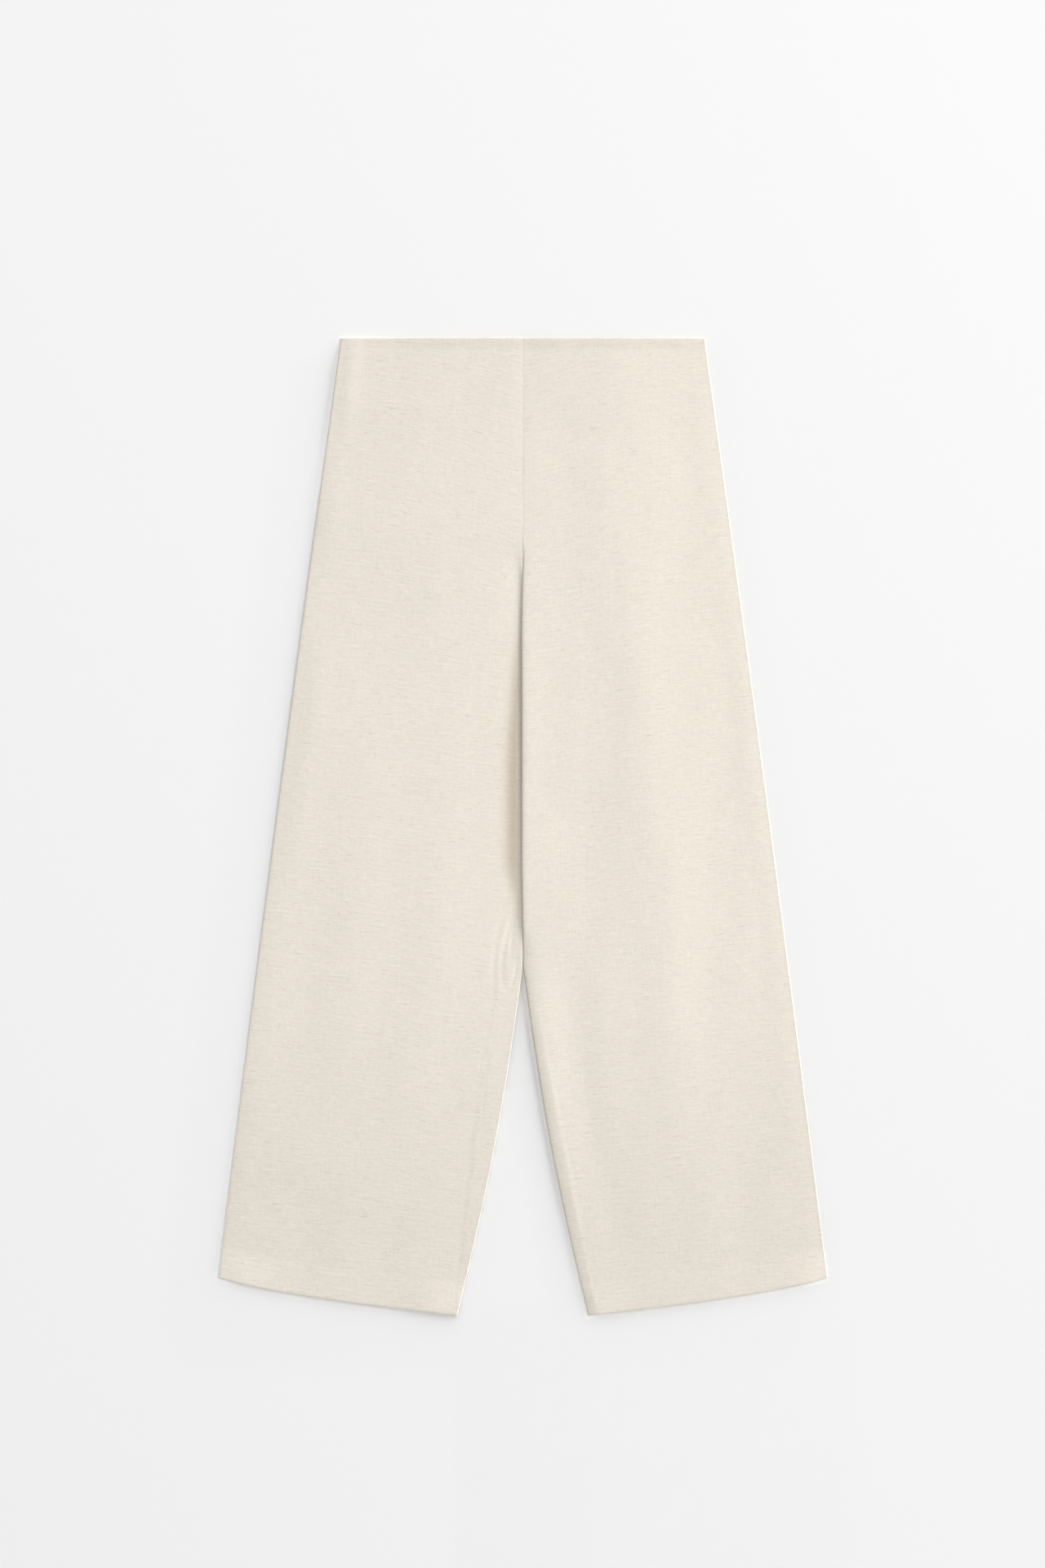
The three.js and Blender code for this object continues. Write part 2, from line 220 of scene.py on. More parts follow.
def hollowSection(below):
    # points of the right front near the centre for every row: flat, blended by sink into the
    # hollow, then blended by the leg share into a rolled edge
    p = {key: np.array(value) * 1.0 for key, value in hollowPoints.items()}
    sink = station(foldStations, "sink", below)[:, None]
    width = fold["width"] * station(foldStations, "width", below)[:, None]
    leg = smooth(*fold["legSpan"], below)[:, None]
    gap = garment["seamGap"]
    sunkX = -gap - p["lead"] * mm - p["hollow"] * width
    sunkX[:, -1] = seamLine(below) - gap
    x = mix(-gap - p["flat"] * mm, sunkX, sink)
    top = topHeight(-1, below)[:, None]
    fill = station(foldStations, "fill", below)[:, None]
    z = top - sink * (p["sunk"] - fill * p["filled"]) * (top - fold["bottom"])
    legX = -legLine(below)[:, None] - gap - p["rolled"] * mm
    legZ = top - p["dropped"] * (top - garment["edgeFoot"])
    return -mix(x, legX, leg), mix(z, legZ, leg)


def foldSection(below):
    # points of the left front near the centre for every row: flat, rolled over, folded under
    # as tuck grows, with the folded edge lifted by its rise
    p = {key: np.array(value) * 1.0 for key, value in foldPoints.items()}
    sink = station(foldStations, "sink", below)[:, None]
    tuck = station(foldStations, "tuck", below)[:, None]
    rise = fold["rise"] * station(foldStations, "rise", below)[:, None]
    leg = smooth(*fold["legSpan"], below)[:, None]
    top = topHeight(1, below)[:, None]
    foot = mix(fold["bottom"], garment["edgeFoot"], leg)
    rolledZ = top - mix(p["tight"], p["dropped"], leg) * (top - foot)
    turned = mix(p["rolled"], p["under"], tuck) * mm
    height = mix(rolledZ, p["height"] * mm, np.sqrt(tuck))
    x = legLine(below)[:, None] + mix(p["flat"] * mm, turned, sink)
    lean = fold["lean"] * station(foldStations, "lean", below)[:, None] * sink
    return x - lean * p["lean"], mix(top, height, sink) + rise * p["rise"]


def throughPoints(values, steps):
    # Catmull-Rom curve through each row's points, as one matrix of weights on the points
    count = len(steps) + 1
    weights = []
    for k, n in enumerate(steps):
        t = np.linspace(0, 1, n, endpoint=False)
        around = [max(k - 1, 0), k, k + 1, min(k + 2, count - 1)]
        parts = [(-t + 2 * t**2 - t**3) / 2, (2 - 5 * t**2 + 3 * t**3) / 2,
                 (t + 4 * t**2 - 3 * t**3) / 2, (-t**2 + t**3) / 2]
        block = np.zeros((n, count))
        for column, part in zip(around, parts):
            block[:, column] += part
        weights.append(block)
    weights.append(np.eye(count)[-1:])
    return values @ np.vstack(weights).T


# Creases, ridges and troughs. Each is a path, as x, y in millimetres from the
# middle of the garment and from its top down, then heights in millimetres at even steps along
# it, minus for a trough, then how far it spreads to the viewer's left and right of the path.
frontCreases = {
    "left": [
        ([(104, 470), (106, 330), (112, 218), (124, 140), (131, 56), (138, -60), (146, -178),
          (160, -290), (178, -420)],
         [0.2, 0.6, 0.8, 1.1, 1.3, 1.5, 1.2, 0.8, 0.4], (36, 36)),
        ([(92, 292), (94, 240), (99, 195)], [0, -0.16, 0], (5, 8)),
        ([(190, 480), (222, 250), (243, 60), (268, -120), (300, -430)],
         [0, 0.5, 0.45, 0.5, 0.1], (13, 10)),
        ([(60, -60), (84, -220), (106, -360), (112, -450)], [0, 0.5, 0.6, 0], (22, 34)),
        ([(24, 420), (70, 398), (120, 396)], [0, -0.2, 0], (14, 14)),
        ([(20, 20), (60, 4), (104, -6)], [0, -0.5, 0], (30, 30)),
    ],
    "right": [
        ([(-173, 492), (-174, 478), (-176, 460), (-179, 430), (-182, 400)],
         [0.5, 0.6, 0.6, 0.35, 0.15], (9, 8)),
        ([(-206, 240), (-216, 150), (-228, 50), (-246, -90)], [0, 0.8, 0.5, 0], (14, 36)),
        ([(-92, 290), (-92, 240), (-94, 185)], [0, 0.16, 0], (9, 9)),
        ([(-60, 300), (-66, 120), (-80, -40), (-96, -240)], [0, 0.4, 0.4, 0], (26, 22)),
        ([(-150, 250), (-158, 60), (-176, -120), (-196, -330)], [0, 0.5, 0.5, 0], (34, 30)),
        ([(-225, -130), (-190, -137), (-152, -134)], [0, -0.18, 0], (9, 9)),
        ([(-256, -300), (-216, -340), (-150, -360)], [0.2, 0.9, 0.3], (40, 40)),
        ([(-160, 434), (-100, 426), (-40, 430)], [0, 0.16, 0], (9, 9)),
    ],
}
# Seam ledges, which lift the cloth on one side: path, heights, width of the step and the side.
frontLedges = {
    "left": [
        ([(8, -150), (19, -200), (40, -310), (69, -458)], [0, 0.3, 0.3, 0.2], 2.6, "left"),
    ],
    "right": [
        ([(-19, -84), (-25, -130), (-30, -190), (-40, -240), (-55, -365), (-67, -470)],
         [0, 0.2, 0.26, 0.3, 0.26, 0.1], 1.8, "right"),
    ],
}
ledgeReach = 0.030      # a ledge's lift goes this far from its path
forkPuckers = [
    ([(-3, -64), (-12, -96), (-20, -128), (-21, -156), (-12, -178)],
     [0, -0.3, -0.5, -0.4, 0], (3.0, 3.0)),
    ([(-6, -84), (-12, -118), (-13, -150)], [0, -0.4, 0], (2.0, 2.4)),
    ([(-16, -70), (-24, -104), (-30, -140), (-30, -172)], [0, -0.3, -0.35, 0], (2.6, 3.0)),
    ([(-5, -128), (-8, -150), (-16, -176)], [0, -0.35, 0], (1.8, 2.0)),
    ([(-34, -224), (-38, -242), (-37, -258)], [0, -0.3, 0], (2.0, 2.4)),
    ([(-38, -262), (-42, -284), (-42, -300)], [0, -0.25, 0], (2.0, 2.2)),
    ([(-50, -338), (-53, -352), (-54, -364)], [0, -0.25, 0], (2.0, 2.2)),
    ([(-62, -428), (-65, -444), (-66, -458)], [0, -0.25, 0], (1.8, 2.0)),
]
backCreases = {
    "left": [
        ([(96, 440), (104, 250), (126, 60), (150, -200)], [0, 0.8, 0.8, 0], (30, 34)),
        ([(60, 300), (90, 262), (140, 240)], [0, 0.5, 0], (12, 14)),
        ([(200, 40), (222, -160), (240, -380)], [0, 0.6, 0], (24, 28)),
    ],
    "right": [
        ([(-98, 430), (-112, 220), (-130, 30), (-160, -240)], [0, 0.7, 0.7, 0], (34, 28)),
        ([(-52, 290), (-84, 256), (-130, 246)], [0, 0.5, 0], (13, 12)),
        ([(-196, 10), (-214, -170), (-246, -390)], [0, 0.6, 0], (26, 24)),
    ],
}


def alongPath(x, y, path, perSpan=6):
    # nearest distance from every point to a smooth path, minus on the viewer's left of a path
    # that runs down, and the share of the path's length at the nearest place
    knots = np.array(path) * mm
    line = throughPoints(knots.T, [perSpan] * (len(path) - 1)).T
    best = np.full(x.shape, np.inf)
    signed = np.zeros(x.shape)
    along = np.zeros(x.shape)
    run = 0.0
    for a, b in zip(line[:-1], line[1:]):
        d = b - a
        size = math.hypot(*d)
        t = np.clip(((x - a[0]) * d[0] + (y - a[1]) * d[1]) / size**2, 0, 1)
        off = np.hypot(x - a[0] - t * d[0], y - a[1] - t * d[1])
        side = np.sign(d[0] * (y - a[1]) - d[1] * (x - a[0]))
        closer = off < best
        best = np.where(closer, off, best)
        signed = np.where(closer, side * off, signed)
        along = np.where(closer, run + t * size, along)
        run += size
    return signed, along / run


def nearPath(x, y, path, margin):
    # the points whose box distance to the path is under the margin
    knots = np.array(path) * mm
    low, high = knots.min(0) - margin, knots.max(0) + margin
    return (x > low[0]) & (x < high[0]) & (y > low[1]) & (y < high[1])


def heightAlong(heights, share):
    # the height at a share of a path, eased between the path's even steps
    steps = {"below": np.linspace(0, 1, len(heights)), "height": heights}
    return station(steps, "height", share) * mm


def creaseField(x, y, creases):
    # sum of soft ridges: height times exp of minus (distance over reach) squared
    total = np.zeros(x.shape)
    for path, heights, reaches in creases:
        reach = np.array(reaches) * mm
        near = nearPath(x, y, path, 3 * reach.max())
        signed, share = alongPath(x[near], y[near], path)
        away = signed / np.where(signed < 0, reach[0], reach[1])
        total[near] += heightAlong(heights, share) * np.exp(-away**2)
    return total


def ledgeField(x, y, ledges):
    # a step up of height across the path's width, level from there on
    total = np.zeros(x.shape)
    for path, heights, width, lift in ledges:
        near = nearPath(x, y, path, ledgeReach)
        signed, share = alongPath(x[near], y[near], path)
        toward = signed if lift == "right" else -signed
        total[near] += heightAlong(heights, share) * smooth(-width * mm, width * mm, toward)
    return total


waves = {
    "soft": (0.35 * mm, (0.16, 0.075)),     # height, and lengths from crest to crest
    "fine": (0.05 * mm, (0.028,)),
    "turns": 4,             # waves of each length, the last one across the others
    "spread": 0.5,          # radians by which their directions differ
    "wander": 0.7,          # how far a wave strays from a straight line
    "wanderLength": 2.7,
    "vary": (0.8, 1.25),
}


def gentleWaves(x, y, kind, name):
    # sum of a few sine waves in random directions with random phases, for uneven cloth
    rng = np.random.default_rng(seed + sum(map(ord, name)))
    amount, lengths = waves[kind]
    total = np.zeros(x.shape)
    for size in lengths:
        for turn in range(waves["turns"]):
            angle = rng.uniform(-waves["spread"], waves["spread"])
            angle += math.pi / 2 if turn == waves["turns"] - 1 else 0
            phase = rng.uniform(0, 2 * math.pi, 2)
            across = x * math.cos(angle) + y * math.sin(angle)
            stray = np.sin(2 * math.pi * y / (size * waves["wanderLength"]) + phase[1])
            turns = 2 * math.pi * across / (size * rng.uniform(*waves["vary"]))
            total += np.sin(turns + phase[0] + waves["wander"] * stray)
    return amount * total / (waves["turns"] * len(lengths))


def rowsBetween(spans):
    # distances below the waist: each span of the list cut into equal steps
    parts = [np.linspace(a, b, n, endpoint=False) for a, b, n in spans]
    return np.concatenate(parts + [[spans[-1][1]]])


def gridNormals(points, side):
    # cross product of the differences along the columns and along the rows
    across = np.gradient(points, axis=1)
    along = np.gradient(points, axis=0)
    normal = np.cross(along, across) * side
    return normal / np.maximum(np.linalg.norm(normal, axis=2, keepdims=True), 1e-12)


def turnedEnd(points, normals, atEnd):
    # rows that carry the cloth round its folded end: half a circle from the last row towards
    # the inside, then straight back
    last, before = (points[-1], points[-2]) if atEnd else (points[0], points[1])
    out = last - before
    out /= np.linalg.norm(out, axis=1, keepdims=True)
    normal = normals[-1] if atEnd else normals[0]
    out -= normal * (out * normal).sum(1, keepdims=True)
    radius, back = garment["turnRadius"], garment["turnBack"]
    rows = []
    for angle in np.linspace(0, math.pi, garment["turnSteps"] + 1)[1:]:
        rows.append(last - normal * radius * (1 - math.cos(angle)) + out * radius * math.sin(angle))
    rows += [rows[-1] - out * back * 0.5, rows[-1] - out * back]
    return np.array(rows if atEnd else rows[::-1])


grainLines = {
    "lean": 0.096,          # radians, as each leg leans
    "drag": 0.10,           # how far the fronts' weft is dragged up, and round which height
    "dragAt": 0.36,
    "dragReach": 0.15,
    "dragMore": 0.5,        # more of it near the centre seam, less further out
    "moreWithin": 0.14,
    "moreEase": 0.06,
    "backShift": 0.7,       # so that no two layers have the same threads
    "insideShift": 0.31,
}


def grainMap(points, side, drag):
    # flat cloth coordinates in metres: the panel's grain leans with the leg, and the weft is
    # dragged upwards near the top of the centre seam
    g = grainLines
    x, y = points[..., 0], points[..., 1]
    more = 1 + g["dragMore"] * np.tanh((g["moreWithin"] - np.abs(x)) / g["moreEase"])
    pull = drag * bell(y, g["dragAt"], g["dragReach"]) * more
    cos, sin = math.cos(g["lean"]), math.sin(g["lean"])
    along = y * cos - side * x * sin - np.abs(x) * pull
    return np.stack([x * cos + side * y * sin, along], axis=-1)


def gridQuads(rows, columns):
    # numbers of the grid's points, and of the four corners between two rows and two columns
    index = np.arange(rows * columns).reshape(rows, columns)
    corners = [index[:-1, :-1], index[1:, :-1], index[1:, 1:], index[:-1, 1:]]
    return index, np.stack(corners, axis=-1).reshape(-1, 4)


def setMasks(mesh, masks):
    # each mask as an attribute with one number per point
    for key, values in masks.items():
        attribute = mesh.attributes.new(key, "FLOAT", "POINT")
        attribute.data.foreach_set("value", values.astype(np.float32).ravel())


def addObject(name, data):
    # a new object in the scene, at the origin
    thing = bpy.data.objects.new(name, data)
    bpy.context.scene.collection.objects.link(thing)
    return thing


def addSheet(name, points, grain, masks, side, thickness):
    # a mesh of quads from the grid, with its grain as a UV map and each mask as an attribute,
    # given its thickness by Solidify on both sides of the grid
    quads = gridQuads(*points.shape[:2])[1]
    if side < 0:
        quads = quads[:, ::-1]
    mesh = bpy.data.meshes.new(name)
    mesh.from_pydata(points.reshape(-1, 3).tolist(), [], quads.tolist())
    corners = grain.reshape(-1, 2)[quads.reshape(-1)].astype(np.float32)
    mesh.uv_layers.new(name="grain").data.foreach_set("uv", corners.ravel())
    setMasks(mesh, masks)
    mesh.polygons.foreach_set("use_smooth", np.ones(len(quads), dtype=bool))
    mesh.validate()
    mesh.update()
    piece = addObject(name, mesh)
    wall = piece.modifiers.new("wall", "SOLIDIFY")
    wall.thickness = thickness
    wall.offset = 0
    return piece


def makePanel(face, side, points, below, masks, drag, shift, columns):
    # the panel with its hem and waist folded in, the turnings behind them as strips of its own
    # points between the given columns, moved to its inside by one layer
    name = f"{face}_{legName(side)}_cloth"
    outward = -side if face == "front" else side
    normals = gridNormals(points, outward)
    ends = [turnedEnd(points, normals, False), turnedEnd(points, normals, True)]
    whole = np.concatenate([ends[0], points, ends[1]])
    added = ((len(ends[0]), len(ends[1])), (0, 0))
    masks = {key: np.pad(values, added, mode="edge") for key, values in masks.items()}
    grain = grainMap(whole, side, drag) + shift
    pieces = [addSheet(name, whole, grain, masks, -outward, garment["cloth"])]
    inside = points - normals * garment["layerStep"]
    fromHem = garment["length"] - below
    first, last = columns
    for part, edge, used in [("hem", fromHem, slice(first, last + 1)),
                             ("waist", below, slice(first, None))]:
        rows = (edge < garment[part + "Turning"]) & (edge > garment["turningStart"])
        strip = inside[rows][:, used]
        grain = grainMap(strip, side, grainLines["drag"]) + grainLines["insideShift"]
        # the turnings get the doubled hem's lighter tone all over, part of it painted light
        doubled = {"doubledHemAndLight": np.ones(strip.shape[:2])}
        pieces.append(addSheet(f"{part}_{name}", strip, grain, doubled, -outward, garment["cloth"]))
    return pieces


# The fronts. Rows: between two distances below the waist, in so many steps.
frontRows = [(0.0011, 0.016, 10), (0.016, 0.20, 62), (0.20, 0.32, 48), (0.32, 0.58, 84),
             (0.58, 0.70, 50), (0.70, 0.955, 88), (0.955, 0.9989, 24)]
frontShape = {
    "turnReach": 0.0005,    # how far in the side edge turns down
    "turnSteps": 5,
    "slopeReach": 0.020,    # how far in it slopes
    "slopeSteps": 9,
    "slopeSpread": 1.5,     # over 1 puts more of those steps near the edge
    "restStop": 0.075,      # from the inner line, where the cloth reaches its full height
    "middleSteps": 62,
    "flatUntil": 0.02,      # a turn-up inside ends where more than this share is dropped
}
# in millimetres: how far the cloth slopes down to each side edge, and the height of the edge
sides = {
    "below": [0, 0.05, 0.09, 0.15, 0.19, 0.26, 0.40, 0.55, 0.75, 0.90, 1.0],
    "rightDrop": [0.1, 0.1, 0.1, 0.8, 1.3, 0.4, 0.6, 0.7, 0.45, 0.7, 0.3],
    "leftDrop": [0.35, 0.5, 0.5, 0.45, 0.45, 0.45, 0.45, 0.4, 0.25, 0.3, 0.4],
    "rightRim": [1.0, 1.2, 1.5, 1.3, 1.3, 1.6, 1.6, 1.4, 1.1, 0.9, 0.9],
    "leftRim": [1.7, 1.7, 1.7, 1.7, 1.7, 1.7, 1.7, 1.7, 1.6, 1.4, 1.2],
}
# in millimetres: how far the left leg's inner edge is propped up
legProp = {
    "below": [0.60, 0.66, 0.72, 0.80, 0.90, 1.0],
    "lift": [0, 1.0, 1.9, 1.9, 1.1, 0.1],
    "reach": 0.050,
}
zipLift = {                 # of the right side edge, over the zip
    "slider": 1.8 * mm, "sliderSpan": (0.15, 0.048),
    "waistShare": 0.35, "waistSpan": (0, 0.016),        # less of it at the waist edge
    "tape": 0.6 * mm, "tapeSpan": (0.25, 0.12),
}


def overZip(below):
    # a lift over the slider, less at the waist edge, and a lower one over the tape
    z = zipLift
    atWaist = mix(z["waistShare"], 1, smooth(*z["waistSpan"], below))
    overSlider = z["slider"] * smooth(*z["sliderSpan"], below) * atWaist
    return overSlider + z["tape"] * smooth(*z["tapeSpan"], below)


def sideHeight(side, below, inward):
    # height at a distance in from the side edge: a quick turn up to the rim, a slope that
    # eases out, then a long rise to the full height
    top = topHeight(side, below)
    drop = station(sides, legName(side) + "Drop", below) * mm
    rim = station(sides, legName(side) + "Rim", below) * mm
    rim = np.minimum(rim + (overZip(below) if side < 0 else 0), top - drop)
    t = np.clip(inward / frontShape["turnReach"], 0, 1)
    turned = garment["edgeFoot"] + (rim - garment["edgeFoot"]) * np.sqrt(1 - (1 - t) ** 2)
    sloped = drop * (1 - (1 - np.clip(inward / frontShape["slopeReach"], 0, 1)) ** 2)
    reach = sideLine(below) - legLine(below) - frontShape["restStop"]
    return turned + sloped + (top - rim - drop) * smooth(0, reach, inward)


def frontGrid(side, below):
    # the side edge turned down by a quarter ellipse, a slope, a straight middle, and the
    # section near the centre
    f = frontShape
    turn = np.linspace(0, math.pi / 2, f["turnSteps"], endpoint=False)
    slope = f["slopeReach"] * np.linspace(0, 1, f["slopeSteps"]) ** f["slopeSpread"]
    outward = np.concatenate([f["turnReach"] * (1 - np.cos(turn)), f["turnReach"] + slope])
    outerX = sideLine(below)[:, None] - garment["cloth"] / 2 - outward
    outerZ = sideHeight(side, below[:, None], outward)
    innerX, innerZ = hollowSection(below) if side < 0 else foldSection(below)
    steps = (hollowPoints if side < 0 else foldPoints)["steps"]
    innerX = throughPoints(innerX, steps)
    innerZ = throughPoints(innerZ, steps)
    t = np.linspace(0, 1, f["middleSteps"] + 2)[1:-1]
    middleX = mix(outerX[:, -1:], innerX[:, :1], t)
    middleZ = sideHeight(side, below[:, None], outerX[:, :1] - middleX)
    x = np.hstack([outerX, middleX, innerX])
    return x, rowLine(x, below[:, None]), np.hstack([outerZ, middleZ, innerZ])


rightLow = {
    "edge": 0.25 * mm,      # the right leg is lower along its inner edge
    "edgeReach": 0.060,
    "edgeSpan": (0.56, 0.66, 0.86, 1.0),
    "fold": 1.2 * mm,       # and beside the hollow
    "foldReach": 0.085,
    "foldSpan": (0.16, 0.34, 0.56, 0.68),
}


def rightLowering(x, z, below, legEdge):
    # a depth eased out from the leg's edge, plus one under a bell from the centre, less where
    # the cloth is sunk already
    r = rightLow
    atEdge = r["edge"] * smooth(r["edgeReach"], 0, legEdge) * within(r["edgeSpan"], below)
    unsunk = np.clip((z - fold["bottom"]) / (topHeight(-1, below) - fold["bottom"]), 0, 1)
    return atEdge + r["fold"] * bell(x, 0, r["foldReach"]) * within(r["foldSpan"], below) * unsunk


hemEdge = {
    "ledge": 0.16 * mm,     # over the end of the turn-up, uneven along its line
    "ledgeHalf": 0.0035,
    "line": [(0.0012, 90, 0), (0.0008, 210, 1)],    # sines on that line: size, pitch, phase
    "pitch": 41,
    "curl": 1.5 * mm,       # the hem's corners lift
    "leftCurl": 0.5,        # share of that on the left leg
    "curlReach": 0.055,
    "curlSpan": (0.04, 0),
}


def hemRelief(side, x, below, width, legEdge):
    # a ledge over the turn-up, times a sine along it, plus a bell at each corner
    h = hemEdge
    fromHem = garment["length"] - below
    line = garment["hemTurning"] + sum(a * np.sin(x * pitch + b) for a, pitch, b in h["line"])
    along = 0.5 + 0.5 * np.sin(x * h["pitch"] + side)
    ledge = h["ledge"] * along * smooth(h["ledgeHalf"], -h["ledgeHalf"], fromHem - line)
    corner = bell(width, 0, h["curlReach"]) + bell(legEdge, 0, h["curlReach"])
    corner = corner * (1 if side < 0 else h["leftCurl"])
    return ledge + h["curl"] * corner * smooth(*h["curlSpan"], fromHem)


waistEdge = {
    "lift": 0.45 * mm,      # it is thicker than the cloth below it
    "uneven": 0.4,          # share of that, by two sines with these pitches and phases
    "pitches": (37, 17),
    "phases": (0.6, 2),
    "span": (0.015, 0.002),
}


def waistRelief(side, x, below):
    # the lift times an uneven product of two sines
    w = waistEdge
    (wide, narrow), (turn, start) = w["pitches"], w["phases"]
    sines = np.sin(x * wide + turn * side) * np.sin(x * narrow + start)
    return w["lift"] * (1 - w["uneven"] + w["uneven"] * sines) * smooth(*w["span"], below)


centreSeam = {
    "groove": 0.18 * mm,
    "rightReach": 0.006,
    "leftReach": 0.015,
    "lowShare": 0.3,        # of the groove's depth, away from the waist
    "waistSpan": (0.11, 0.04),
    "line": 0.06 * mm,      # depth of the fine line in it
    "lineReach": 0.0016,
    "span": (0.26, 0.19),
}


def seamGroove(side, x, below):
    # a wide bell and a narrow one, fading out above the fold
    s = centreSeam
    share = mix(s["lowShare"], 1, smooth(*s["waistSpan"], below))
    depth = s["groove"] * bell(x, 0, s[legName(side) + "Reach"]) * share
    return (depth + s["line"] * bell(x, 0, s["lineReach"])) * smooth(*s["span"], below)


calmEdges = {               # distances in from an edge at which the relief starts, and is whole
    "start": 0.0005,
    "side": 0.028,
    "overZip": 0.009,       # the same on the right hip
    "zipSpan": (0.12, 0.06),
    "leg": 0.012,           # at the left leg's inner edge
    "legSpan": (0.60, 0.645),
    "leftFold": (-0.001, 0.008),
    "rightFold": (0.001, 0.010),
    "foldSpan": (0.25, 0.30, 0.62, 0.66),
}


def calmShare(side, x, below, width, legEdge):
    # share of the relief that is left: eased to 0 at the side seam, the leg edge and the fold
    c = calmEdges
    atZip = smooth(*c["zipSpan"], below) * (side < 0)
    share = smooth(c["start"], mix(c["side"], c["overZip"], atZip), width)
    atLeg = smooth(*c["legSpan"], below) * (side > 0)
    share = share * mix(1, smooth(c["start"], c["leg"], legEdge), atLeg)
    atFold = smooth(*c[legName(side) + "Fold"], x)
    return share * mix(1, atFold, within(c["foldSpan"], below))


def frontRelief(side, x, y, z, below):
    # all that lifts or lowers the cloth from its plain section, added up and calmed at the
    # edges; then the left leg's inner edge is propped up
    name = legName(side)
    width = sideLine(below) - x
    legEdge = x - legLine(below)
    relief = creaseField(side * x, y, frontCreases[name])
    relief += ledgeField(side * x, y, frontLedges[name])
    if side < 0:
        relief += creaseField(side * x, y, forkPuckers)
        relief -= rightLowering(x, z, below, legEdge)
    relief += gentleWaves(side * x, y, "soft", name)
    relief += gentleWaves(side * x, y, "fine", name + "fine")
    relief += hemRelief(side, x, below, width, legEdge) + waistRelief(side, x, below)
    relief -= seamGroove(side, x, below)
    relief *= calmShare(side, x, below, width, legEdge)
    propped = station(legProp, "lift", below) * mm * smooth(legProp["reach"], 0, legEdge)
    return relief + propped * (side > 0)


maskSpans = {
    "doubledHemAndLight": (0.040, 0.024),      # up from the hem, near its corners: doubled cloth, and painted light
    "outerCorner": 0.05,
    "innerCorner": 0.03,
    "innerShare": 0.5,
    # painted shade along the waist turning
    "waistPaintedShade": (0.0135, 0.0095),
    "edge": (0.003, 0.0015),        # in from the side seam, the inner leg line and the hem
    # painted shade on the lower legs, where the cloth slopes away from the light
    "lowLegPaintedShade": (0.64, 0.92),
    "leftLowLegPaintedShade": 1.15,             # share of that on the left front
    "top": (0.16, 0.02),
}


def panelMasks(below, x):
    # where the cloth is doubled, with painted light near the hem's corners; how near its edge is;
    # and where it is darker: painted shade at the waist turning and on the lower leg, darker near
    # the top
    m = maskSpans
    fromHem = garment["length"] - below
    fromSide, fromLeg = sideLine(below) - x, x - legLine(below)
    corners = bell(fromSide, 0, m["outerCorner"])
    corners += m["innerShare"] * bell(fromLeg, 0, m["innerCorner"])
    inward = np.minimum(fromSide, np.where(below > garment["forkBelow"], fromLeg, 1))
    return {"doubledHemAndLight": smooth(*m["doubledHemAndLight"], fromHem) * corners,
            "waistPaintedShade": smooth(*m["waistPaintedShade"], below),
            "edge": smooth(*m["edge"], np.minimum(inward, fromHem)),
            "lowLegPaintedShade": smooth(*m["lowLegPaintedShade"], below), "top": smooth(*m["top"], below)}


def hollowShade(x, below):
    # painted shade: a bell across the hollow, steeper on the folded edge's side
    width = station(foldStations, "width", below)
    centre = fold["width"] * fold["shadeCentre"] * width
    near, far = fold["shadeReach"]
    reach = np.where(x > centre, far, near) * width
    return station(foldStations, "shade", below) * bell(x, centre, reach)


def lastFlatColumn(side, columns):
    # the turn-up stops where the cloth above it starts to drop to the inner edge
    table = hollowPoints if side < 0 else foldPoints
    flat = sum(share <= frontShape["flatUntil"] for share in table["dropped"])
    return columns - 1 - sum(table["steps"][flat - 1:])


def makeFront(side):
    # the front's grid with its relief added to its height
    below = rowsBetween(frontRows)
    x, y, z = frontGrid(side, below)
    down = below[:, None] + np.zeros_like(x)
    points = np.stack([side * x, y, z + frontRelief(side, x, y, z, down)], axis=-1)
    masks = panelMasks(down, x)
    # painted shade in the hollow beside the fold, on the right front only
    masks["hollow"] = hollowShade(x, down) * (side < 0)
    # more of the lower leg's painted shade on the left front
    masks["lowLegPaintedShade"] *= maskSpans["leftLowLegPaintedShade"] if side > 0 else 1
    columns = (frontShape["turnSteps"], lastFlatColumn(side, x.shape[1]))
    return makePanel("front", side, points, below, masks, grainLines["drag"], 0, columns)


# The backs, with rows as in the fronts.
backRows = [(0.0011, 0.014, 5), (0.014, 0.20, 32), (0.20, 0.66, 84), (0.66, 0.96, 56),
            (0.96, 0.9989, 14)]
backShape = {
    "curl": 0.0004,         # height by which the edges curl up to meet the front
    "curlReach": 0.0012,
    "curlSteps": 6,
    "middleSteps": 70,
    "turningInset": 3,      # columns from the curl to the turn-up
    "flatSide": (0.002, 0.02),          # in from an edge, where creases start and are whole
    "flatWaist": (0.002, 0.04),
    "flatHem": (0.002, 0.05),
}


def backGrid(side, below):
    # flat, with both edges curled up by a quarter ellipse; the curl fades at the centre seam
    gap = garment["seamGap"]
    tucked = seamLine(below)
    inner = legLine(below) + (gap - tucked if side < 0 else tucked)
    leg = smooth(*fold["legSpan"], below)
    outer = sideLine(below)
    half = garment["cloth"] / 2
    turn = np.linspace(0, math.pi / 2, backShape["curlSteps"] + 1)
    reach, curl = backShape["curlReach"], backShape["curl"] - garment["backLayer"]
    outX = outer[:, None] - half - reach * (1 - np.cos(turn))
    outZ = garment["backLayer"] + curl * (1 - np.sin(turn)) + np.zeros_like(outX)
    inX = inner[:, None] + half * leg[:, None] + reach * (1 - np.cos(turn[::-1]))
    inCurl = curl + (station(legProp, "lift", below)[:, None] * mm if side > 0 else 0)
    inZ = garment["backLayer"] + inCurl * (1 - np.sin(turn[::-1])) * leg[:, None]
    t = np.linspace(0, 1, backShape["middleSteps"] + 2)[1:-1]
    x = np.hstack([outX, mix(outX[:, -1:], inX[:, :1], t), inX])
    z = np.hstack([outZ, mix(outZ[:, -1:], inZ[:, :1], t), inZ])
    return x, rowLine(x, below[:, None]), z


